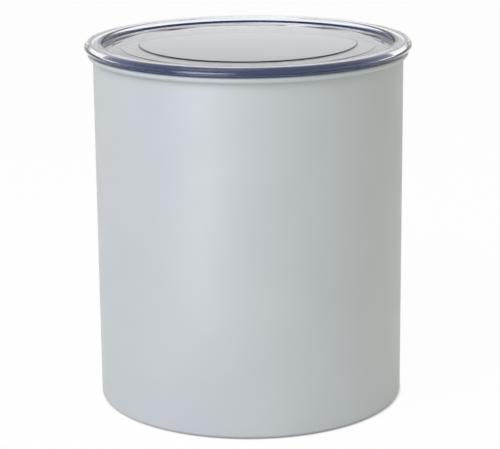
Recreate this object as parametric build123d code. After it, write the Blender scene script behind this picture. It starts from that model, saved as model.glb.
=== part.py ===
import os
from math import cos, pi, radians, sin, sqrt

from build123d import *

# Coffee canister whose inner plunger lid is pushed down onto the coffee, in millimetres, +Z up.
# The origin is the middle of the base, on the surface that the canister stands on.
# The inner lid is drawn part way down, with its handle folded flat towards -Y and its valve shut.

# Steel canister
body_radius = 84.3
sheet = 0.7
base_corner = 2.2
stand_width = 8.0
base_lift = 1.5
rim_height = 194.6
curl_radius = 1.75
curl_turn = 290  # degrees

# Clear outer lid
skirt_overhang = 1.0  # past the rolled rim
lid_flare = 0.8  # from the skirt's edge to the shoulder
lid_wall = 1.5
crest_wall = 0.8
skirt_wall = 1.7
skirt_foot = 2.5  # the wall's width at the skirt's lower edge
lid_rise = 4.2
lid_shoulder_drop = 2.5
lid_shoulder_fillet = 2.4
lid_crest_fillet = 0.8
channel_fillet = 1.65
well_slope = 0.2
well_depth = 3.3
well_fillet = 0.5
gutter_width = 5.5  # between the well's wall and the ramp up to the ring
ring_slope = 4.5
ring_rise = 1.1
ring_fillet = 1.0
ring_width = 10.6  # the flat ring round the disc
disc_rise = 0.6
disc_slope = 0.6
disc_fillet = 0.3
plug_depth = 7.8
edge_fillet = 0.3

# Seal ring of the outer lid
seal_gap = 0.4  # between the rolled rim and the lid's skirt
seal_room = 2.4  # between the lid's plug and the canister's wall
seal_wall = 1.2
seal_sleeve_rise = 1.5  # above the seal plane
seal_flange_inset = 0.3  # from the skirt's outer face
seal_flange_fillet = 0.1
lip_count = 2
lip_gap = 0.3
lip_root = 1.6
lip_tip = 0.7
lip_rise = 0.4
lip_pitch = 2.8

# Dish of the inner lid
deck_height = 112.0
dish_wall = 2.0
dish_floor = 3.0
dish_depth = 22.0
dish_corner = 4.0
dish_lip_width = 2.4
dish_lip_thickness = 1.6
boss_radius = 3.6
boss_height = 4.0
boss_inset = 9.0
clamp_screw_count = 6
clamp_screw_angle = 30  # degrees

# Wiper gasket and its clamp ring
wiper_room = 5.0  # between the gasket's sleeve and the canister's wall
wiper_gap = 0.3
wiper_wall = 1.5
fin_root = 2.4
fin_tip = 0.9
fin_rise = 1.8
fin_heights = (4.0, 17.5)
clamp_thickness = 2.0
clamp_margin = 5.0
clamp_cover = 0.8

# Vent bore, housing and poppet
bore_radius = 6.0
seat_width = 1.4
seat_rise = 0.8
housing_flange_radius = 18.0
housing_flange_thickness = 2.4
housing_screw_radius = 15.0
housing_screw_count = 4
housing_screw_angle = 45  # degrees
tower_inner_radius = 9.5
tower_wall = 1.8
tower_height = 12.0
tower_roof = 2.0
window_count = 4
window_width = 8.0
window_height = 5.0
guide_running_gap = 0.06
poppet_radius = 8.5
poppet_thickness = 1.6
poppet_plug_radius = 3.9
poppet_plug_drop = 1.8
poppet_seal_thickness = 1.4
stem_radius = 2.0
valve_lift = 2.5

# Closing spring
wire_radius = 0.35
spring_radius = 5.2
spring_turns = 3.25
spring_samples = 6  # to a quarter turn, for the gap that is printed
spring_seat_gap = 0.05

# Cam, shaft and yoke
shaft_radius = 2.0
shaft_overhang = 4.5  # past the middle of the handle's eyes
cam_radius = 5.0
cam_width = 4.6
cam_top_gap = 0.12
cam_bottom_gap = 0.3
yoke_rest_gap = 0.6
yoke_bar = 2.4
yoke_leg = 2.2
yoke_side_gap = 0.5
yoke_width = 5.6
yoke_fillet = 1.0

# Bearing blocks
bearing_inset = 7.5  # inwards from the handle's eyes
bearing_width = 5.0
bearing_head_radius = 5.0
bearing_foot_width = 9.0
bearing_foot_length = 26.0
bearing_foot_thickness = 2.5
bearing_foot_fillet = 1.0
bearing_screw_inset = 4.0
bearing_running_gap = 0.05

# Folding handle
handle_half_width = 36.5
handle_reach = 42.0
handle_bar_radius = 3.3
handle_corner = 10.0
eye_radius = 5.2
eye_width = 7.0
cross_pin_radius = 0.8
cross_pin_inset = 0.3
grip_margin = 3.5
grip_wall = 2.0
grip_rib_count = 9
grip_rib_width = 2.0
grip_rib_height = 0.5

# Umbrella valve that lets gas out
relief_inset = 22.0  # inwards from the clamp screws
relief_radius = 7.0
relief_edge = 0.7
relief_dome = 2.0
relief_stem_radius = 1.5
relief_bulb_radius = 2.5
relief_bulb_length = 3.0
relief_vent_count = 4
relief_vent_radius = 1.1
relief_vent_place = 4.4
relief_vent_angle = 45  # degrees

# Screen under the vent bore
screen_radius = 11.0
screen_thickness = 0.6
screen_hole_radius = 0.6
screen_hole_pitch = 2.0
screen_ring_count = 3
screen_ring_holes = 6  # more holes in each ring outwards
retainer_inner_radius = 8.2
retainer_outer_radius = 16.2
retainer_thickness = 2.0
retainer_screw_radius = 13.5
retainer_screw_count = 3
retainer_screw_angle = 90  # degrees

# Screws and fits
screw_radius = 1.25
screw_head_radius = 2.4
screw_head_height = 1.6
screw_head_fillet = 0.4
socket_radius = 1.2
socket_depth = 0.9
screw_grip = 2.2
fixed_fit = 0.04
soft_fit = 0.1
overrun = 1.0

# Places worked out from the sizes above
inner_radius = body_radius - sheet
curl_center = (inner_radius + curl_radius, rim_height - curl_radius)
rim_radius = inner_radius + 2 * curl_radius
skirt_radius = rim_radius + skirt_overhang
lid_radius = skirt_radius + lid_flare
plug_radius = inner_radius - seal_room
well_radius = plug_radius - lid_wall - well_slope
seal_plane = rim_height + seal_gap
crest = seal_plane + lid_rise
well_floor = crest - well_depth
ring_top = well_floor + ring_rise
disc_top = ring_top + disc_rise
gutter_radius = well_radius - gutter_width
ring_radius = gutter_radius - ring_slope
disc_radius = ring_radius - ring_width
plug_bottom = seal_plane - plug_depth
dish_bottom = deck_height - dish_floor
dish_top = deck_height + dish_depth
clamp_bottom = dish_bottom - clamp_thickness
seat_top = deck_height + seat_rise
poppet_bottom = seat_top + poppet_seal_thickness
poppet_top = poppet_bottom + poppet_thickness
tower_top = deck_height + tower_height
tower_ceiling = tower_top - tower_roof
yoke_bottom = tower_top + yoke_rest_gap
window_bottom = yoke_bottom + yoke_bar
cam_offset = valve_lift / 2
shaft_height = window_bottom + cam_bottom_gap + cam_radius + cam_offset
window_top = shaft_height - cam_offset + cam_radius + cam_top_gap
bearing_place = handle_half_width - bearing_inset
shaft_half_length = handle_half_width + shaft_overhang
grip_length = 2 * (handle_half_width - handle_corner - grip_margin)
screen_bottom = dish_bottom - screen_thickness
retainer_bottom = screen_bottom - retainer_thickness
wiper_sleeve = inner_radius - wiper_room
dish_radius = wiper_sleeve - wiper_wall - soft_fit
boss_place_radius = dish_radius - boss_inset
relief_place = boss_place_radius - relief_inset
clamp_inner_radius = boss_place_radius - clamp_margin


def turned(*corners):
    # Turns a closed outline about Z. A corner is a radius, a height and, where it is rounded, a fillet.
    places = [corner[:2] for corner in corners]
    fillets = [corner[2] if len(corner) > 2 else 0 for corner in corners]
    outline = FilletPolyline(*places, radius=fillets, close=True)
    return revolve(make_face(Plane.XZ * outline), Axis.Z)


def rod(radius, bottom, top, x=0, y=0):
    return Pos(x, y, bottom) * extrude(Circle(radius), top - bottom)


def cross_bar(radius, start, end, y, z):
    # A round bar along X.
    return Pos(start, y, z) * extrude(Plane.YZ * Circle(radius), end - start)


def block(width, depth, bottom, top, x=0, y=0):
    return Pos(x, y, (bottom + top) / 2) * Box(width, depth, top - bottom)


def around(count, radius, start=0):
    angles = [radians(start + 360 * step / count) for step in range(count)]
    return [(radius * cos(angle), radius * sin(angle)) for angle in angles]


def group(solids):
    return Part() + list(solids)


def screw(x, y, seat, length, head_side):
    # The head bears on the face at the height seat: on top of it for 1, and below it for -1.
    head = extrude(Circle(screw_head_radius), screw_head_height)
    head = fillet(head.edges().group_by(Axis.Z)[-1], screw_head_fillet)
    socket = extrude(RegularPolygon(socket_radius, 6), socket_depth + overrun)
    head -= Pos(0, 0, screw_head_height - socket_depth) * socket
    whole = head + extrude(Circle(screw_radius), -length)
    turn = 0 if head_side > 0 else 180
    return Pos(x, y, seat) * Rot(turn, 0, 0) * whole


def screw_hole(x, y, bottom, top):
    return rod(screw_radius + fixed_fit, bottom, top, x, y)


# Places of the screws
clamp_places = around(clamp_screw_count, boss_place_radius, clamp_screw_angle)
housing_places = around(housing_screw_count, housing_screw_radius, housing_screw_angle)
retainer_places = around(retainer_screw_count, retainer_screw_radius, retainer_screw_angle)
bearing_screw_y = bearing_foot_length / 2 - bearing_screw_inset
bearing_places = [(x, y) for x in (-bearing_place, bearing_place)
                  for y in (-bearing_screw_y, bearing_screw_y)]
clamp_screw_top = deck_height + boss_height / 2
floor_screw_bottom = deck_height - screw_grip
retainer_screw_top = dish_bottom + screw_grip


def canister_shell():
    stand_inner = body_radius - base_corner - stand_width
    outside = FilletPolyline(
        (body_radius, curl_center[1]), (body_radius, 0), (stand_inner, 0),
        (stand_inner - base_lift, base_lift), (0, base_lift),
        (0, base_lift + sheet), (stand_inner - base_lift, base_lift + sheet),
        (stand_inner, sheet), (inner_radius, sheet), (inner_radius, curl_center[1]),
        radius=[base_corner, 0, 0, 0, 0, 0, 0, base_corner - sheet],
    )
    first = 180 - curl_turn
    curl_outside = CenterArc(curl_center, curl_radius, first, curl_turn)
    curl_inside = CenterArc(curl_center, curl_radius - sheet, first, curl_turn)
    curl_end = Line(curl_outside @ 0, curl_inside @ 0)
    outline = outside + curl_outside + curl_end + curl_inside
    return revolve(make_face(Plane.XZ * outline), Axis.Z)


def lid_shell():
    shoulder = crest - lid_shoulder_drop
    channel_top = crest - crest_wall
    disc_foot = disc_radius + disc_slope
    return turned(
        (0, disc_top), (disc_radius, disc_top, disc_fillet), (disc_foot, ring_top, disc_fillet),
        (ring_radius, ring_top, ring_fillet), (gutter_radius, well_floor, ring_fillet),
        (well_radius, well_floor, well_fillet), (well_radius + well_slope, crest, lid_crest_fillet),
        (lid_radius, crest, lid_shoulder_fillet), (lid_radius, shoulder),
        (skirt_radius, seal_plane, edge_fillet), (skirt_radius - skirt_foot, seal_plane, edge_fillet),
        (skirt_radius - skirt_wall, shoulder), (skirt_radius - skirt_wall, channel_top, channel_fillet),
        (plug_radius, channel_top, edge_fillet),
        (plug_radius, plug_bottom, edge_fillet), (plug_radius - lid_wall, plug_bottom, edge_fillet),
        (plug_radius - lid_wall, well_floor - lid_wall, edge_fillet),
        (gutter_radius, well_floor - lid_wall, ring_fillet), (ring_radius, ring_top - lid_wall, ring_fillet),
        (disc_foot, ring_top - lid_wall, disc_fillet), (disc_radius, disc_top - lid_wall, disc_fillet),
        (0, disc_top - lid_wall),
    )


def lid_gasket():
    inside = plug_radius + soft_fit
    sleeve = inside + seal_wall
    flange = skirt_radius - seal_flange_inset
    lip_radius = inner_radius - lip_gap
    bottom = plug_bottom + seal_wall
    top = seal_plane + seal_sleeve_rise
    flange_bottom = rim_height + fixed_fit
    flange_top = seal_plane - fixed_fit
    corners = [(inside, bottom), (sleeve, bottom)]
    for step in range(lip_count):
        root = bottom + lip_tip + step * lip_pitch
        corners += [
            (sleeve, root), (lip_radius, root + lip_rise),
            (lip_radius, root + lip_rise + lip_tip), (sleeve, root + lip_root),
        ]
    corners += [
        (sleeve, flange_bottom), (flange, flange_bottom, seal_flange_fillet),
        (flange, flange_top, seal_flange_fillet), (sleeve, flange_top), (sleeve, top), (inside, top),
    ]
    return turned(*corners)


def plunger_dish():
    lip_radius = dish_radius + dish_lip_width
    lip_bottom = dish_top - dish_lip_thickness
    seat_outer = bore_radius + seat_width
    dish = turned(
        (bore_radius, dish_bottom), (dish_radius, dish_bottom, edge_fillet),
        (dish_radius, lip_bottom), (lip_radius, lip_bottom), (lip_radius, dish_top, edge_fillet),
        (dish_radius - dish_wall, dish_top, edge_fillet),
        (dish_radius - dish_wall, deck_height, dish_corner),
        (seat_outer, deck_height), (seat_outer, seat_top), (bore_radius, seat_top),
    )
    dish += [rod(boss_radius, deck_height, deck_height + boss_height, x, y) for x, y in clamp_places]
    holes = [screw_hole(x, y, dish_bottom, clamp_screw_top) for x, y in clamp_places]
    for x, y in housing_places + bearing_places:
        holes.append(screw_hole(x, y, floor_screw_bottom, deck_height))
    holes += [screw_hole(x, y, dish_bottom, retainer_screw_top) for x, y in retainer_places]
    holes.append(rod(relief_stem_radius + fixed_fit, dish_bottom, deck_height, 0, relief_place))
    for x, y in around(relief_vent_count, relief_vent_place, relief_vent_angle):
        holes.append(rod(relief_vent_radius, dish_bottom, deck_height, x, relief_place + y))
    return dish - holes


def wiper_gasket():
    inside = dish_radius + soft_fit
    fin_radius = inner_radius - wiper_gap
    corners = [(inside, dish_bottom), (wiper_sleeve, dish_bottom)]
    for height in fin_heights:
        root = dish_bottom + height
        corners += [
            (wiper_sleeve, root), (fin_radius, root + fin_rise),
            (fin_radius, root + fin_rise + fin_tip), (wiper_sleeve, root + fin_root),
        ]
    top = dish_top - dish_lip_thickness
    corners += [(wiper_sleeve, top), (inside, top)]
    return turned(*corners)


def gasket_clamp_ring():
    outer_radius = wiper_sleeve + clamp_cover
    ring = turned(
        (clamp_inner_radius, clamp_bottom, edge_fillet), (outer_radius, clamp_bottom, edge_fillet),
        (outer_radius, dish_bottom), (clamp_inner_radius, dish_bottom),
    )
    return ring - [screw_hole(x, y, clamp_bottom, dish_bottom) for x, y in clamp_places]


def clamp_screws():
    length = clamp_screw_top - clamp_bottom
    return group(screw(x, y, clamp_bottom, length, -1) for x, y in clamp_places)


def valve_housing():
    tower_outer = tower_inner_radius + tower_wall
    flange_top = deck_height + housing_flange_thickness
    guide_radius = stem_radius + guide_running_gap
    housing = turned(
        (tower_inner_radius, deck_height), (housing_flange_radius, deck_height),
        (housing_flange_radius, flange_top, edge_fillet), (tower_outer, flange_top),
        (tower_outer, tower_top, tower_wall / 2), (guide_radius, tower_top),
        (guide_radius, tower_ceiling), (tower_inner_radius, tower_ceiling),
    )
    window_base = flange_top + edge_fillet
    for step in range(window_count):
        window = block(2 * tower_outer, window_width, window_base, window_base + window_height, tower_outer)
        housing -= Rot(0, 0, 360 * step / window_count) * window
    return housing - [screw_hole(x, y, deck_height, flange_top) for x, y in housing_places]


def housing_screws():
    seat = deck_height + housing_flange_thickness
    return group(screw(x, y, seat, seat - floor_screw_bottom, 1) for x, y in housing_places)


def poppet():
    plug = rod(poppet_plug_radius, deck_height - poppet_plug_drop, poppet_bottom)
    disc = rod(poppet_radius, poppet_bottom, poppet_top)
    return plug + disc + rod(stem_radius, poppet_top, window_bottom)


def poppet_seal():
    inside = poppet_plug_radius + fixed_fit
    return rod(poppet_radius, seat_top, poppet_bottom) - rod(inside, seat_top, poppet_bottom)


def stem_yoke():
    cam_reach = cam_radius + cam_offset * sqrt(2)
    window = 2 * (cam_reach + yoke_side_gap)
    outside = block(yoke_width, window + 2 * yoke_leg, yoke_bottom, window_top + yoke_bar)
    outside = fillet(outside.edges().filter_by(Axis.X), yoke_fillet)
    frame = outside - block(yoke_width + overrun, window, window_bottom, window_top)
    return frame - rod(stem_radius + fixed_fit, yoke_bottom, window_bottom)


def helix_point(angle, base, climb):
    return Vector(spring_radius * cos(angle), spring_radius * sin(angle), base + climb * angle)


def helix_tangent(angle, climb):
    return Vector(-spring_radius * sin(angle), spring_radius * cos(angle), climb).normalized()


def biarc(start, start_way, end, end_way):
    # Two arcs that leave start along start_way and reach end along end_way.
    span = end - start
    ways = start_way + end_way
    spread = 2 * (1 - start_way.dot(end_way))
    reach = (sqrt(span.dot(ways) ** 2 + spread * span.dot(span)) - span.dot(ways)) / spread
    before = start + start_way * reach
    after = end - end_way * reach
    middle = (before + after) / 2
    middle_way = (after - before).normalized()
    return [Edge.make_tangent_arc(start, start_way, middle), Edge.make_tangent_arc(middle, middle_way, end)]


def valve_spring():
    base = poppet_top + spring_seat_gap + wire_radius
    height = tower_ceiling - spring_seat_gap - wire_radius - base
    end_run = 2 * wire_radius
    quarters = round(4 * spring_turns)
    climb = height / (quarters * pi / 2 + 2 * end_run / spring_radius)
    base += climb * end_run / spring_radius
    turns = [(helix_point(step * pi / 2, base, climb), helix_tangent(step * pi / 2, climb))
             for step in range(quarters + 1)]
    first, first_way = turns[0]
    last, last_way = turns[-1]
    edges = [Edge.make_line(first - first_way * end_run, first)]
    for (start, start_way), (end, end_way) in zip(turns, turns[1:]):
        edges += biarc(start, start_way, end, end_way)
    edges.append(Edge.make_line(last, last + last_way * end_run))
    start_plane = Plane(origin=first - first_way * end_run, z_dir=first_way)
    wire = sweep(start_plane * Circle(wire_radius), path=Wire(edges))
    step_angle = pi / 2 / spring_samples
    samples = [helix_point(step * step_angle, base, climb)
               for step in range(spring_samples * quarters + 1)]
    half_turn = 2 * spring_samples
    gap = min((samples[i] - samples[j]).length
              for i in range(len(samples)) for j in range(i - half_turn + 1))
    print("valve spring: least gap between turns", round(gap - 2 * wire_radius, 3), "mm")
    return wire


def bearing_block(x):
    foot_top = deck_height + bearing_foot_thickness
    body = block(bearing_foot_width, bearing_foot_length, deck_height, foot_top, x)
    body = fillet(body.edges().filter_by(Axis.Z), bearing_foot_fillet)
    body += block(bearing_width, 2 * bearing_head_radius, foot_top, shaft_height, x)
    start = x - bearing_width / 2
    end = x + bearing_width / 2
    body += cross_bar(bearing_head_radius, start, end, 0, shaft_height)
    body -= cross_bar(shaft_radius + bearing_running_gap, start, end, 0, shaft_height)
    return body - [screw_hole(px, py, deck_height, foot_top) for px, py in bearing_places]


def bearing_screws():
    seat = deck_height + bearing_foot_thickness
    return group(screw(x, y, seat, seat - floor_screw_bottom, 1) for x, y in bearing_places)


def cross_pin_spans():
    # Each upright pin through the shaft: its place along X, its bottom and its top.
    eye_half = eye_radius - cross_pin_inset
    cam_half = sqrt(cam_radius ** 2 - (cam_offset + cross_pin_radius) ** 2) - cross_pin_inset
    spans = [(x, shaft_height - eye_half, shaft_height + eye_half)
             for x in (-handle_half_width, handle_half_width)]
    cam_middle = shaft_height - cam_offset
    return spans + [(0, cam_middle - cam_half, cam_middle + cam_half)]


def cross_pin_holes():
    return [rod(cross_pin_radius + fixed_fit, bottom, top, x) for x, bottom, top in cross_pin_spans()]


def cross_pins():
    return group(rod(cross_pin_radius, bottom, top, x) for x, bottom, top in cross_pin_spans())


def cam_shaft():
    shaft = cross_bar(shaft_radius, -shaft_half_length, shaft_half_length, 0, shaft_height)
    return shaft - cross_pin_holes()


def valve_cam():
    half = cam_width / 2
    cam = cross_bar(cam_radius, -half, half, -cam_offset, shaft_height - cam_offset)
    cam -= cross_bar(shaft_radius + fixed_fit, -half, half, 0, shaft_height)
    return cam - cross_pin_holes()


def handle_bail():
    path = FilletPolyline(
        (-handle_half_width, 0), (-handle_half_width, -handle_reach),
        (handle_half_width, -handle_reach), (handle_half_width, 0),
        radius=handle_corner,
    )
    start_plane = Plane(origin=path @ 0, z_dir=path % 0)
    bail = Pos(0, 0, shaft_height) * sweep(start_plane * Circle(handle_bar_radius), path=path)
    for x in (-handle_half_width, handle_half_width):
        start = x - eye_width / 2
        end = x + eye_width / 2
        bail += cross_bar(eye_radius, start, end, 0, shaft_height)
        bail -= cross_bar(shaft_radius + fixed_fit, start, end, 0, shaft_height)
    return bail - cross_pin_holes()


def handle_grip():
    half = grip_length / 2
    outer = handle_bar_radius + grip_wall
    grip = cross_bar(outer, -half, half, -handle_reach, shaft_height)
    grip = fillet(grip.edges(), grip_wall / 2)
    pitch = (grip_length - grip_wall) / grip_rib_count
    for step in range(grip_rib_count):
        x = (step - (grip_rib_count - 1) / 2) * pitch
        start = x - grip_rib_width / 2
        end = x + grip_rib_width / 2
        grip += cross_bar(outer + grip_rib_height, start, end, -handle_reach, shaft_height)
    return grip - cross_bar(handle_bar_radius + fixed_fit, -half, half, -handle_reach, shaft_height)


def relief_valve():
    bulb_bottom = dish_bottom - relief_bulb_length
    return Pos(0, relief_place, 0) * turned(
        (0, bulb_bottom), (relief_stem_radius, bulb_bottom), (relief_bulb_radius, dish_bottom),
        (relief_stem_radius, dish_bottom), (relief_stem_radius, deck_height), (relief_radius, deck_height),
        (relief_radius, deck_height + relief_edge),
        (relief_bulb_radius, deck_height + relief_dome, edge_fillet), (0, deck_height + relief_dome),
    )


def grounds_screen():
    screen = rod(screen_radius, screen_bottom, dish_bottom)
    places = [(0, 0)]
    for ring in range(1, screen_ring_count + 1):
        places += around(screen_ring_holes * ring, ring * screen_hole_pitch)
    return screen - [rod(screen_hole_radius, screen_bottom, dish_bottom, x, y) for x, y in places]


def screen_retainer():
    seat = screen_radius + soft_fit
    ring = turned(
        (retainer_inner_radius, retainer_bottom, edge_fillet),
        (retainer_outer_radius, retainer_bottom, edge_fillet), (retainer_outer_radius, dish_bottom),
        (seat, dish_bottom), (seat, screen_bottom), (retainer_inner_radius, screen_bottom),
    )
    return ring - [screw_hole(x, y, retainer_bottom, dish_bottom) for x, y in retainer_places]


def screen_screws():
    length = retainer_screw_top - retainer_bottom
    return group(screw(x, y, retainer_bottom, length, -1) for x, y in retainer_places)


nodes = {
    "canister_shell": canister_shell(),
    "lid_shell": lid_shell(),
    "lid_gasket": lid_gasket(),
    "plunger_dish": plunger_dish(),
    "wiper_gasket": wiper_gasket(),
    "gasket_clamp_ring": gasket_clamp_ring(),
    "clamp_screws": clamp_screws(),
    "valve_housing": valve_housing(),
    "housing_screws": housing_screws(),
    "poppet": poppet(),
    "poppet_seal": poppet_seal(),
    "stem_yoke": stem_yoke(),
    "valve_spring": valve_spring(),
    "bearing_block_left": bearing_block(-bearing_place),
    "bearing_block_right": bearing_block(bearing_place),
    "bearing_screws": bearing_screws(),
    "cam_shaft": cam_shaft(),
    "valve_cam": valve_cam(),
    "cross_pins": cross_pins(),
    "handle_bail": handle_bail(),
    "handle_grip": handle_grip(),
    "relief_valve": relief_valve(),
    "grounds_screen": grounds_screen(),
    "screen_retainer": screen_retainer(),
    "screen_screws": screen_screws(),
}

os.makedirs("parts", exist_ok=True)
for name, shape in nodes.items():
    export_step(shape, f"parts/{name}.step")
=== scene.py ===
import math

import bmesh
import bpy
from mathutils import Matrix, Vector


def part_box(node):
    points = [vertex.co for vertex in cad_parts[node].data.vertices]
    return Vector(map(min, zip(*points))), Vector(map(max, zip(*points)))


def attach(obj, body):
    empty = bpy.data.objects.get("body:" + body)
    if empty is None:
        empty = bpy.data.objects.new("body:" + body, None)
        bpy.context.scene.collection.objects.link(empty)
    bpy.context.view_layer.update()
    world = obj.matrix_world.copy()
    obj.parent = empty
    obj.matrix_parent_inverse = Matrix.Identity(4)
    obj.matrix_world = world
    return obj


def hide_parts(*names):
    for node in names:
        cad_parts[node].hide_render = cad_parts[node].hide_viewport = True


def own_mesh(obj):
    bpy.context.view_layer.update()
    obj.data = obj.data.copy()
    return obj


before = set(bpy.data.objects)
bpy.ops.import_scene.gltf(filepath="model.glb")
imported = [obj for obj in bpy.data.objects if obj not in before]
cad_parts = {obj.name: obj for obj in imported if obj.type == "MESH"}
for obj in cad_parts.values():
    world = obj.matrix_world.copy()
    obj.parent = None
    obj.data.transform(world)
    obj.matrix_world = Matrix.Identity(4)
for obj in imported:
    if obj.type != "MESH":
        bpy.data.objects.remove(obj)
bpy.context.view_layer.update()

mm = 0.001
print("frame loaded:", len(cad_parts), "nodes")


# outlines and turned meshes

arcStep = 12  # degrees, the most that one chord of a fillet turns
onAxis = 1e-6  # mm


def roundedOutline(corners, closed=True):
    # corners are (radius, height) or (radius, height, fillet) in mm, and a fillet becomes short chords
    points = []
    count = len(corners)
    for i, corner in enumerate(corners):
        here = Vector(corner[:2])
        fillet = corner[2] if len(corner) > 2 else 0
        if fillet <= 0 or (not closed and i in (0, count - 1)):
            points.append(here)
            continue
        before = (Vector(corners[i - 1][:2]) - here).normalized()
        after = (Vector(corners[(i + 1) % count][:2]) - here).normalized()
        half = before.angle(after) / 2
        reach = fillet / math.tan(half)
        middle = here + (before + after).normalized() * (fillet / math.sin(half))
        start = here + before * reach - middle
        turn = math.pi - 2 * half
        if before.x * after.y - before.y * after.x > 0:
            turn = -turn
        steps = max(2, math.ceil(math.degrees(abs(turn)) / arcStep))
        for step in range(steps + 1):
            angle = turn * step / steps
            c, s = math.cos(angle), math.sin(angle)
            points.append(middle + Vector((start.x * c - start.y * s, start.x * s + start.y * c)))
    return points


def lathe(name, outline, steps, closed=True, facing=None):
    # spins an outline in mm about Z; facing gives a material index for each stretch of the outline
    bm = bmesh.new()
    rings = []
    for radius, height in outline:
        if radius < onAxis:
            rings.append([bm.verts.new((0, 0, height * mm))])
            continue
        ring = []
        for step in range(steps):
            angle = 2 * math.pi * step / steps
            x, y = radius * mm * math.cos(angle), radius * mm * math.sin(angle)
            ring.append(bm.verts.new((x, y, height * mm)))
        rings.append(ring)
    spans = len(rings) if closed else len(rings) - 1
    for i in range(spans):
        low, high = rings[i], rings[(i + 1) % len(rings)]
        if len(low) == 1 and len(high) == 1:
            continue
        index = facing(outline[i], outline[(i + 1) % len(outline)]) if facing else 0
        for step in range(steps):
            after = (step + 1) % steps
            corners = [low[step % len(low)], low[after % len(low)],
                       high[after % len(high)], high[step % len(high)]]
            face = bm.faces.new(list(dict.fromkeys(corners)))
            face.material_index = index
    bmesh.ops.recalc_face_normals(bm, faces=bm.faces)
    return meshObject(name, bm)


def meshObject(name, bm, sharpAngle=35):
    mesh = bpy.data.meshes.new(name)
    bm.to_mesh(mesh)
    bm.free()
    mesh.shade_smooth()
    mesh.set_sharp_from_angle(angle=math.radians(sharpAngle))
    piece = bpy.data.objects.new(name, mesh)
    bpy.context.scene.collection.objects.link(piece)
    return piece


def fitPiece(piece, body, slot, materials, *nodes):
    for material in materials:
        piece.data.materials.append(material)
    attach(piece, body)
    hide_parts(*nodes)
    return piece


# materials

def newMaterial(name):
    material = bpy.data.materials.new(name)
    material.use_nodes = True
    nodes = material.node_tree.nodes
    shader = nodes["Principled BSDF"]
    coords = nodes.new("ShaderNodeTexCoord")
    return material, nodes, material.node_tree.links, shader, coords.outputs["Object"]


def noise(nodes, links, vector, scale, detail=2, roughness=0.5):
    node = nodes.new("ShaderNodeTexNoise")
    node.inputs["Scale"].default_value = scale
    node.inputs["Detail"].default_value = detail
    node.inputs["Roughness"].default_value = roughness
    links.new(vector, node.inputs["Vector"])
    return node.outputs["Fac"]


def spread(nodes, links, value, low, high, fromLow=0.3, fromHigh=0.7):
    # from one range to another; most of a noise lies between 0.3 and 0.7
    node = nodes.new("ShaderNodeMapRange")
    node.inputs["From Min"].default_value = fromLow
    node.inputs["From Max"].default_value = fromHigh
    node.inputs["To Min"].default_value = low
    node.inputs["To Max"].default_value = high
    links.new(value, node.inputs["Value"])
    return node.outputs["Result"]


def blendColors(nodes, links, factor, first, second):
    # the second may also be another node's output
    node = nodes.new("ShaderNodeMix")
    node.data_type = "RGBA"
    node.inputs["A"].default_value = (*first, 1)
    if isinstance(second, bpy.types.NodeSocket):
        links.new(second, node.inputs["B"])
    else:
        node.inputs["B"].default_value = (*second, 1)
    links.new(factor, node.inputs["Factor"])
    return node.outputs["Result"]


def bump(nodes, links, height, strength, distance):
    node = nodes.new("ShaderNodeBump")
    node.inputs["Strength"].default_value = strength
    node.inputs["Distance"].default_value = distance
    links.new(height, node.inputs["Height"])
    return node.outputs["Normal"]


def dressShader(nodes, links, shader, look, tone, rough, grain):
    blend = blendColors(nodes, links, spread(nodes, links, tone, 0, 1), look["dark"], look["light"])
    links.new(blend, shader.inputs["Base Color"])
    links.new(spread(nodes, links, rough, *look["roughness"]), shader.inputs["Roughness"])
    links.new(bump(nodes, links, grain, *look["relief"]), shader.inputs["Normal"])
    shader.inputs["Metallic"].default_value = look["metallic"]
    shader.inputs["Specular IOR Level"].default_value = look["specular"]


# tone, rough and grain are noises, with scale, then detail and roughness where they aren't the usual ones;
# roughness is the range that rough runs over, and relief is the grain's strength and its height in metres

powderLook = {
    "dark": (0.575, 0.61, 0.635),
    "light": (0.60, 0.635, 0.66),
    "tone": (22, 3),
    "roughness": (0.4, 0.48),
    "rough": (60,),
    "grain": (1600, 3, 0.6),
    "relief": (0.12, 0.0001),
    "metallic": 0,
    "specular": 0.5,
}

rubberLook = {
    "tone": (90, 4),
    "roughness": (0.38, 0.5),
    "rough": (200,),
    "grain": (2500,),
    "relief": (0.08, 0.00008),
    "metallic": 0,
    "specular": 0.5,
}

plasticLook = {
    "tone": (40, 4),
    "roughness": (0.35, 0.5),
    "rough": (150,),
    "grain": (1400, 3, 0.6),
    "relief": (0.12, 0.0001),
    "metallic": 0,
    "specular": 0.5,
}

groundLook = {
    "dark": (0.52, 0.52, 0.53),
    "light": (0.68, 0.68, 0.68),
    "tone": (500, 3),
    "roughness": (0.18, 0.34),
    "rough": (900,),
    "grain": (3000,),
    "relief": (0.06, 0.00005),
    "metallic": 1,
    "specular": 0.5,
}

turnedLook = {
    "dark": (0.79, 0.80, 0.83),
    "light": (0.91, 0.92, 0.94),
    "roughness": (0.36, 0.48),
    "grooves": (2200, 4, 0.7),
    "relief": (0.2, 0.00005),
    "metallic": 1,
    "specular": 0.5,
}

clearLook = {
    "color": (0.97, 0.985, 1.0),
    "ior": 1.49,
    "roughness": (0.002, 0.01),
    "rough": (35, 3),
    "grain": (28, 1),
    "relief": (0.03, 0.0003),
}


def finishedMaterial(name, look, **own):
    look = {**look, **own}
    material, nodes, links, shader, place = newMaterial(name)
    tone, rough, grain = (noise(nodes, links, place, *look[use]) for use in ("tone", "rough", "grain"))
    dressShader(nodes, links, shader, look, tone, rough, grain)
    return material


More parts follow.
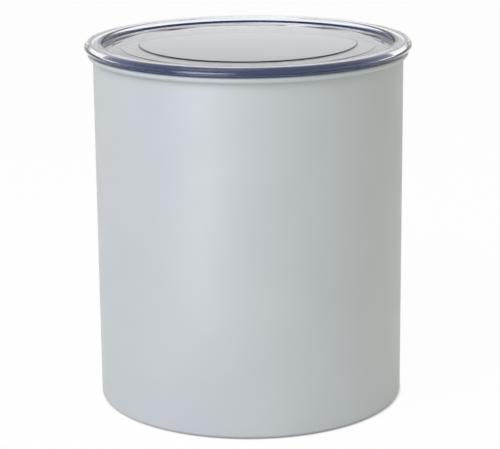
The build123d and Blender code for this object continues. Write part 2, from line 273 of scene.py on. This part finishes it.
def turnedSteel():
    # the noise takes only the distance from the axis and the height, so its fine lines run round the piece
    material, nodes, links, shader, place = newMaterial("turnedSteel")
    split = nodes.new("ShaderNodeSeparateXYZ")
    links.new(place, split.inputs["Vector"])
    flat = nodes.new("ShaderNodeCombineXYZ")
    links.new(split.outputs["X"], flat.inputs["X"])
    links.new(split.outputs["Y"], flat.inputs["Y"])
    length = nodes.new("ShaderNodeVectorMath")
    length.operation = "LENGTH"
    links.new(flat.outputs["Vector"], length.inputs[0])
    rings = nodes.new("ShaderNodeCombineXYZ")
    links.new(length.outputs["Value"], rings.inputs["X"])
    links.new(split.outputs["Z"], rings.inputs["Z"])
    grooves = noise(nodes, links, rings.outputs["Vector"], *turnedLook["grooves"])
    dressShader(nodes, links, shader, turnedLook, grooves, grooves, grooves)
    return material


def clearPlastic():
    material, nodes, links, shader, place = newMaterial("clearPlastic")
    shader.inputs["Transmission Weight"].default_value = 1
    shader.inputs["IOR"].default_value = clearLook["ior"]
    shader.inputs["Base Color"].default_value = (*clearLook["color"], 1)
    smear = noise(nodes, links, place, *clearLook["rough"])
    links.new(spread(nodes, links, smear, *clearLook["roughness"]), shader.inputs["Roughness"])
    waves = noise(nodes, links, place, *clearLook["grain"])
    links.new(bump(nodes, links, waves, *clearLook["relief"]), shader.inputs["Normal"])
    return material


def softRubber(name, dark, light, **own):
    return finishedMaterial(name, rubberLook, dark=dark, light=light, **own)


def mouldedPlastic(name, dark, light, **own):
    return finishedMaterial(name, plasticLook, dark=dark, light=light, **own)


finishes = {
    "powder": finishedMaterial("powderCoat", powderLook),
    "bareSteel": turnedSteel(),
    "clear": clearPlastic(),
    "navy": softRubber("navySilicone", (0.003, 0.022, 0.1), (0.005, 0.028, 0.12),
                       roughness=(0.42, 0.52), specular=0.05),
    "dish": mouldedPlastic("dishPlastic", (0.33, 0.345, 0.36), (0.37, 0.385, 0.40)),
    "housing": mouldedPlastic("housingPlastic", (0.42, 0.44, 0.46), (0.47, 0.49, 0.51)),
    "cam": mouldedPlastic("camAcetal", (0.70, 0.71, 0.69), (0.76, 0.77, 0.74), roughness=(0.25, 0.35)),
    "handle": mouldedPlastic("handlePlastic", (0.035, 0.038, 0.042), (0.05, 0.053, 0.058)),
    "grip": softRubber("gripRubber", (0.012, 0.03, 0.09), (0.022, 0.046, 0.125), roughness=(0.5, 0.62)),
    "black": softRubber("sealRubber", (0.015, 0.015, 0.016), (0.03, 0.03, 0.031)),
    "ground": finishedMaterial("groundSteel", groundLook),
}
print("materials made:", len(finishes))


# steel canister

canister = {
    "sheet": 0.7,
    "baseCorner": 2.2,
    "standWidth": 8.0,
    "footFillet": 0.4,
    "baseLift": 1.5,
    "bodyRadius": 84.3,
    "curlRadius": 1.75,
    "curlTurn": 290,
    "curlSteps": 28,
    "turnSteps": 320,
    "wallSlack": 0.01,
}


def canisterPiece():
    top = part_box("canister_shell")[1].z / mm
    body, sheet, corner = canister["bodyRadius"], canister["sheet"], canister["baseCorner"]
    inside = body - sheet
    stand = body - corner - canister["standWidth"]
    lift, foot = canister["baseLift"], canister["footFillet"]
    curl = canister["curlRadius"]
    middle = Vector((inside + curl, top - curl))
    outside = roundedOutline([
        (body, middle.y), (body, 0, corner), (stand, 0, foot), (stand - lift, lift, foot), (0, lift),
    ], closed=False)
    within = roundedOutline([
        (0, lift + sheet), (stand - lift, lift + sheet, foot), (stand, sheet, foot),
        (inside, sheet, corner - sheet), (inside, middle.y),
    ], closed=False)
    steps = canister["curlSteps"]
    turn = math.radians(canister["curlTurn"])
    outerCurl, innerCurl = [], []
    for step in range(1, steps + 1):
        angle = math.pi - turn * step / steps
        way = Vector((math.cos(angle), math.sin(angle)))
        outerCurl.append(middle + way * curl)
        innerCurl.append(middle + way * (curl - sheet))
    outline = outside + within + outerCurl + list(reversed(innerCurl))

    def facing(start, end):
        # bare steel inside the wall and over the base, powder coat elsewhere
        x, z = (start[0] + end[0]) / 2, (start[1] + end[1]) / 2
        return 1 if x < inside + canister["wallSlack"] and z > lift + sheet / 2 else 0

    piece = lathe("steelCanister", outline, canister["turnSteps"], facing=facing)
    coats = [finishes["powder"], finishes["bareSteel"]]
    return fitPiece(piece, "canister", "coated_steel", coats, "canister_shell")


canisterPiece()
print("canister made")


# clear outer lid and its seal

lid = {
    "wall": 1.5,
    "crestWall": 0.8,
    "skirtWall": 1.7,
    "skirtFoot": 2.5,
    "channelFillet": 1.65,
    "skirtRadius": 88.1,
    "rise": 4.2,
    "shoulderDrop": 2.5,
    "shoulderFillet": 2.4,
    "crestFillet": 0.8,
    "wellRadius": 79.5,
    "wellSlope": 0.2,
    "wellDepth": 3.3,
    "wellFillet": 0.5,
    "gutterRadius": 74.0,
    "ringRadius": 69.5,
    "ringRise": 1.1,
    "ringFillet": 1.0,
    "discRadius": 58.9,
    "discRise": 0.6,
    "discSlope": 0.6,
    "discFillet": 0.3,
    "edge": 0.3,
    "turnSteps": 320,
}

seal = {
    "wall": 1.2,
    "fit": 0.1,
    "flangeFit": 0.04,
    "flangeFillet": 0.1,
    "lipGap": 0.3,
    "lipFillet": 0.2,
    "lipRoot": 1.6,
    "lipTip": 0.7,
    "lipRise": 0.4,
    "lipPitch": 2.8,
    "lips": 2,
    "turnSteps": 256,
}


def lidPiece():
    low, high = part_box("lid_shell")
    crest, plugBottom, radius = high.z / mm, low.z / mm, high.x / mm
    wall, edge = lid["wall"], lid["edge"]
    floor = crest - lid["wellDepth"]
    ring = floor + lid["ringRise"]
    disc = ring + lid["discRise"]
    turn = lid["ringFillet"]
    plug = lid["wellRadius"] + lid["wellSlope"] + wall
    skirt, skirtIn = lid["skirtRadius"], lid["skirtRadius"] - lid["skirtWall"]
    foot = skirt - lid["skirtFoot"]
    sealPlane = crest - lid["rise"]
    discOut = lid["discRadius"] + lid["discSlope"]
    outline = roundedOutline([
        (0, disc), (lid["discRadius"], disc, lid["discFillet"]), (discOut, ring, lid["discFillet"]),
        (lid["ringRadius"], ring, turn), (lid["gutterRadius"], floor, turn),
        (lid["wellRadius"], floor, lid["wellFillet"]),
        (lid["wellRadius"] + lid["wellSlope"], crest, lid["crestFillet"]),
        (radius, crest, lid["shoulderFillet"]), (radius, crest - lid["shoulderDrop"]),
        (skirt, sealPlane, edge), (foot, sealPlane, edge), (skirtIn, crest - lid["shoulderDrop"]),
        (skirtIn, crest - lid["crestWall"], lid["channelFillet"]),
        (plug, crest - lid["crestWall"], edge), (plug, plugBottom, edge), (plug - wall, plugBottom, edge),
        (plug - wall, floor - wall, edge), (lid["gutterRadius"], floor - wall, turn),
        (lid["ringRadius"], ring - wall, turn), (discOut, ring - wall, lid["discFillet"]),
        (lid["discRadius"], disc - wall, lid["discFillet"]), (0, disc - wall),
    ], closed=False)
    piece = lathe("clearLid", outline, lid["turnSteps"], closed=False)
    piece.visible_shadow = False  # light goes through clear plastic
    return fitPiece(piece, "outer_lid", "clear_plastic", [finishes["clear"]], "lid_shell")


def sealPiece():
    low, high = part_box("lid_gasket")
    bottom, top, flange = low.z / mm, high.z / mm, high.x / mm
    inside = lid["wellRadius"] + lid["wellSlope"] + lid["wall"] + seal["fit"]
    sleeve = inside + seal["wall"]
    lip, turn = canister["bodyRadius"] - canister["sheet"] - seal["lipGap"], seal["lipFillet"]
    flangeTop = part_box("lid_shell")[1].z / mm - lid["rise"] - seal["flangeFit"]
    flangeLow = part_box("canister_shell")[1].z / mm + seal["flangeFit"]
    corners = [(inside, bottom), (sleeve, bottom)]
    for step in range(seal["lips"]):
        root = bottom + seal["lipTip"] + step * seal["lipPitch"]
        rise = root + seal["lipRise"]
        corners += [(sleeve, root), (lip, rise, turn), (lip, rise + seal["lipTip"], turn),
                    (sleeve, root + seal["lipRoot"])]
    corners += [(sleeve, flangeLow), (flange, flangeLow, seal["flangeFillet"]),
                (flange, flangeTop, seal["flangeFillet"]), (sleeve, flangeTop), (sleeve, top), (inside, top)]
    piece = lathe("lidSeal", roundedOutline(corners), seal["turnSteps"])
    return fitPiece(piece, "outer_lid", "navy_silicone", [finishes["navy"]], "lid_gasket")


lidPiece()
sealPiece()
print("outer lid made")


# closing spring, built as a fixed helix; the real one shortens as the handle lifts the valve

spring = {
    "wire": 0.35,
    "radius": 5.2,
    "turns": 3.25,
    "seat": 122.0,
    "lift": 2.5,
    "stepsPerTurn": 32,
    "wireSides": 10,
    "sharpAngle": 50,
}


def springPiece():
    low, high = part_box("valve_spring")
    wire, radius, sides = spring["wire"], spring["radius"], spring["wireSides"]
    bottom, top = low.z / mm + wire, high.z / mm - wire
    run = 2 * wire / radius  # the straight ends, as an angle
    climb = (top - bottom) / (2 * math.pi * spring["turns"] + 2 * run)
    steps = round(spring["turns"] * spring["stepsPerTurn"])
    path = []
    for step in range(-1, steps + 2):
        angle = 2 * math.pi * spring["turns"] * min(max(step, 0), steps) / steps
        out = Vector((math.cos(angle), math.sin(angle), 0))
        way = Vector((-radius * out.y, radius * out.x, climb)).normalized()
        past = 2 * wire if step > steps else -2 * wire if step < 0 else 0
        place = out * radius + Vector((0, 0, bottom + climb * (angle + run))) + way * past
        path.append((place, out, way.cross(out)))
    bm = bmesh.new()
    rings = []
    turns = [2 * math.pi * side / sides for side in range(sides)]
    for place, out, up in path:
        ring = []
        for turn in turns:
            rim = place + out * (wire * math.cos(turn)) + up * (wire * math.sin(turn))
            ring.append(bm.verts.new(rim * mm))
        rings.append(ring)
    for before, after in zip(rings, rings[1:]):
        for side in range(sides):
            beside = (side + 1) % sides
            bm.faces.new((before[side], before[beside], after[beside], after[side]))
    bm.faces.new(rings[0])
    bm.faces.new(rings[-1])
    bmesh.ops.recalc_face_normals(bm, faces=bm.faces)
    piece = meshObject("closingSpring", bm, spring["sharpAngle"])
    fitPiece(piece, "inner_lid", "shaft_steel", [finishes["ground"]], "valve_spring")
    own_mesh(piece)
    return piece


springPiece()
print("closing spring made")


# carried-over nodes and their finishes

nodeFinishes = {
    "plunger_dish": ("dish", "dish_plastic"),
    "wiper_gasket": ("navy", "navy_silicone"),
    "gasket_clamp_ring": ("dish", "dish_plastic"),
    "clamp_screws": ("ground", "screw_steel"),
    "valve_housing": ("housing", "housing_plastic"),
    "housing_screws": ("ground", "screw_steel"),
    "poppet": ("ground", "shaft_steel"),
    "poppet_seal": ("black", "black_rubber"),
    "stem_yoke": ("housing", "housing_plastic"),
    "bearing_block_left": ("housing", "housing_plastic"),
    "bearing_block_right": ("housing", "housing_plastic"),
    "bearing_screws": ("ground", "screw_steel"),
    "cam_shaft": ("ground", "shaft_steel"),
    "valve_cam": ("cam", "cam_plastic"),
    "cross_pins": ("ground", "shaft_steel"),
    "handle_bail": ("handle", "handle_plastic"),
    "handle_grip": ("grip", "grip_rubber"),
    "relief_valve": ("navy", "navy_silicone"),
    "grounds_screen": ("ground", "shaft_steel"),
    "screen_retainer": ("dish", "dish_plastic"),
    "screen_screws": ("ground", "screw_steel"),
}

for nodeName, (finish, slotName) in nodeFinishes.items():
    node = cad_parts[nodeName]
    node.data.materials.clear()
    node.data.materials.append(finishes[finish])
print("finishes given to", len(nodeFinishes), "nodes")


# floor, light and camera

def times(nodes, links, value, factor):
    node = nodes.new("ShaderNodeMath")
    node.operation = "MULTIPLY"
    links.new(value, node.inputs[0])
    if isinstance(factor, float):
        node.inputs[1].default_value = factor
    else:
        links.new(factor, node.inputs[1])
    return node.outputs["Value"]


def larger(nodes, links, first, second):
    node = nodes.new("ShaderNodeMath")
    node.operation = "MAXIMUM"
    links.new(first, node.inputs[0])
    links.new(second, node.inputs[1])
    return node.outputs["Value"]


def seenRays(nodes, links, first, *others):
    # 1 for a ray of any of the named kinds
    rays = nodes.new("ShaderNodeLightPath")
    value = rays.outputs[first]
    for kind in others:
        value = larger(nodes, links, value, rays.outputs[kind])
    return value


def towards(nodes, links, place, way, edge):
    # 1 in the named direction, down to 0 where the cosine of the angle to it is the edge value
    unit = nodes.new("ShaderNodeVectorMath")
    unit.operation = "NORMALIZE"
    links.new(place, unit.inputs[0])
    facing = nodes.new("ShaderNodeVectorMath")
    facing.operation = "DOT_PRODUCT"
    links.new(unit.outputs["Vector"], facing.inputs[0])
    facing.inputs[1].default_value = Vector(way).normalized()
    return spread(nodes, links, facing.outputs["Value"], 0, 1, edge, 1)


def mixShaders(nodes, links, factor, first, second):
    node = nodes.new("ShaderNodeMixShader")
    links.new(factor, node.inputs["Fac"])
    links.new(first, node.inputs[1])
    links.new(second, node.inputs[2])
    return node.outputs["Shader"]


def addShaders(nodes, links, first, second):
    node = nodes.new("ShaderNodeAddShader")
    links.new(first, node.inputs[0])
    links.new(second, node.inputs[1])
    return node.outputs["Shader"]


floorLook = {
    "size": 6.0,
    "cells": 8,
    "color": (0.97, 0.97, 0.96),
    "dim": 0.985,
    "toneScale": 4,
    "roughness": 0.9,
    "glow": 0.96,
    "footMiddle": (0.0005, 0.0, 0.0),
    # a painted contact shadow: the floor's base colour turns dark in a strip round the foot
    "paintedShadowStrip": (0.083, 0.086),
    "paintedShadowColor": (0.08, 0.08, 0.09),
    "footFade": (0.0815, 0.0848),
    "footGlow": 0.0,
    "frontGlow": 0.2,
    "frontFade": (-0.15, 0.05),
    "poolWay": (-0.5, -0.86, 0.0),
    "poolEdge": 0.92,
    "poolFade": (0.17, 0.32),
    "poolGlow": (4.3, 4.2, 4.2),
}


def floorMaterial():
    material, nodes, links, shader, place = newMaterial("paleFloor")
    distance = nodes.new("ShaderNodeVectorMath")
    distance.operation = "DISTANCE"
    links.new(place, distance.inputs[0])
    distance.inputs[1].default_value = floorLook["footMiddle"]
    away = distance.outputs["Value"]
    # painted shadow: the base colour is painted dark in a strip round the foot, and near the foot the glow
    # fades so that the camera sees the floor's real shading there, with this painted shadow in it
    dim = [channel * floorLook["dim"] for channel in floorLook["color"]]
    tone = noise(nodes, links, place, floorLook["toneScale"])
    pale = blendColors(nodes, links, tone, dim, floorLook["color"])
    paintedShadowMask = spread(nodes, links, away, 0, 1, *floorLook["paintedShadowStrip"])
    links.new(blendColors(nodes, links, paintedShadowMask, floorLook["paintedShadowColor"], pale), shader.inputs["Base Color"])
    shader.inputs["Roughness"].default_value = floorLook["roughness"]
    plain = spread(nodes, links, away, floorLook["footGlow"], floorLook["glow"], *floorLook["footFade"])
    shown = times(nodes, links, seenRays(nodes, links, "Is Camera Ray"), plain)
    # mirrors see the floor white behind the object and greyer in front of it
    split = nodes.new("ShaderNodeSeparateXYZ")
    links.new(place, split.inputs["Vector"])
    depth = spread(nodes, links, split.outputs["Y"], floorLook["frontGlow"], floorLook["glow"],
                   *floorLook["frontFade"])
    through = times(nodes, links, seenRays(nodes, links, "Is Transmission Ray"), floorLook["glow"])
    bounced = times(nodes, links, seenRays(nodes, links, "Is Glossy Ray"), depth)
    mirrored = larger(nodes, links, through, bounced)
    glow = nodes.new("ShaderNodeEmission").outputs["Emission"]
    lit = mixShaders(nodes, links, larger(nodes, links, mirrored, shown), shader.outputs["BSDF"], glow)
    # a pool of lamp light on the floor that only the object's sheen shows
    pool = nodes.new("ShaderNodeEmission")
    pool.inputs["Color"].default_value = (*floorLook["poolGlow"], 1)
    wedge = towards(nodes, links, place, floorLook["poolWay"], floorLook["poolEdge"])
    out = spread(nodes, links, away, 0, 1, *floorLook["poolFade"])
    inPool = times(nodes, links, wedge, out)
    links.new(times(nodes, links, inPool, seenRays(nodes, links, "Is Glossy Ray")), pool.inputs["Strength"])
    both = addShaders(nodes, links, lit, pool.outputs["Emission"])
    links.new(both, nodes["Material Output"].inputs["Surface"])
    return material


def floorPiece():
    bm = bmesh.new()
    cells, half = floorLook["cells"], floorLook["size"] / 2
    bmesh.ops.create_grid(bm, x_segments=cells, y_segments=cells, size=half)
    floor = meshObject("studioFloor", bm)
    floor.data.materials.append(floorMaterial())
    return floor


room = {
    "even": (0.505, 0.515, 0.445),
    "evenRight": (0.37, 0.38, 0.23),
    "rightFade": (0.55, 1.0),
    "front": (0.22, 0.24, 0.28),
    "back": (1.0, 1.0, 1.0),
    "backFade": (-0.7, 0.2),
    "overhead": 0.6,
    "overheadFade": (0.1, 0.3),
    "windowWay": (-0.35, -0.42, 0.84),
    "windowEdge": 0.9,
    "windowGlow": (2.0, 2.05, 2.15),
}


def studioWorld():
    # even light for matt surfaces; mirrors and clear plastic see white behind, greyer in front,
    # and a soft window
    world = bpy.data.worlds.new("studio")
    bpy.context.scene.world = world
    world.use_nodes = True
    world.cycles.sampling_method = "NONE"
    nodes, links = world.node_tree.nodes, world.node_tree.links
    place = nodes.new("ShaderNodeTexCoord").outputs["Generated"]
    split = nodes.new("ShaderNodeSeparateXYZ")
    links.new(place, split.inputs["Vector"])

    def background(color):
        node = nodes.new("ShaderNodeBackground")
        links.new(color, node.inputs["Color"])
        return node.outputs["Background"]

    right = spread(nodes, links, split.outputs["X"], 0, 1, *room["rightFade"])
    even = background(blendColors(nodes, links, right, room["even"], room["evenRight"]))
    back = spread(nodes, links, split.outputs["Y"], 0, 1, *room["backFade"])
    overhead = spread(nodes, links, split.outputs["Z"], 0, room["overhead"], *room["overheadFade"])
    back = larger(nodes, links, back, overhead)
    back = larger(nodes, links, back, seenRays(nodes, links, "Is Transmission Ray"))
    mirrored = background(blendColors(nodes, links, back, room["front"], room["back"]))
    glow = towards(nodes, links, place, room["windowWay"], room["windowEdge"])
    window = background(blendColors(nodes, links, glow, (0, 0, 0), room["windowGlow"]))
    sharp = seenRays(nodes, links, "Is Glossy Ray", "Is Transmission Ray")
    lit = mixShaders(nodes, links, sharp, even, addShaders(nodes, links, mirrored, window))
    white = nodes["Background"]
    white.inputs["Color"].default_value = (1, 1, 1, 1)
    direct = seenRays(nodes, links, "Is Camera Ray")
    shown = mixShaders(nodes, links, direct, lit, white.outputs["Background"])
    links.new(shown, nodes["World Output"].inputs["Surface"])


keyBox = {
    "place": (-0.46, -0.74, 1.08),
    "aim": (0, 0, 0.1),
    "size": (0.9, 0.7),
    "power": 10.0,
    "color": (0.84, 0.83, 1.0),
}


def addKeyBox():
    data = bpy.data.lights.new("keyBox", "AREA")
    data.shape = "RECTANGLE"
    data.size, data.size_y = keyBox["size"]
    data.energy = keyBox["power"]
    data.color = keyBox["color"]
    lamp = bpy.data.objects.new("keyBox", data)
    lamp.location = keyBox["place"]
    way = Vector(keyBox["aim"]) - Vector(keyBox["place"])
    lamp.rotation_euler = way.to_track_quat("-Z", "Y").to_euler()
    lamp.visible_glossy = False
    lamp.visible_transmission = False
    bpy.context.scene.collection.objects.link(lamp)


view = {
    "side": 0.0002,
    "distance": 1.05,
    "height": 0.376,
    "pitch": 14.98,
    "roll": -0.516,
    "focal": 1952,
    "imageWidth": 500,
    "sensor": 36,
}


def addCamera():
    data = bpy.data.cameras.new("photoCamera")
    data.sensor_width = view["sensor"]
    data.lens = view["focal"] / view["imageWidth"] * data.sensor_width
    camera = bpy.data.objects.new("photoCamera", data)
    tilt = Matrix.Rotation(math.radians(90 - view["pitch"]), 4, "X")
    roll = Matrix.Rotation(math.radians(view["roll"]), 4, "Z")
    camera.matrix_world = Matrix.Translation((view["side"], -view["distance"], view["height"])) @ tilt @ roll
    bpy.context.scene.collection.objects.link(camera)
    bpy.context.scene.camera = camera


floorPiece()
studioWorld()
addKeyBox()
addCamera()
bpy.context.scene.view_settings.view_transform = "Standard"
print("stage, light and camera made")
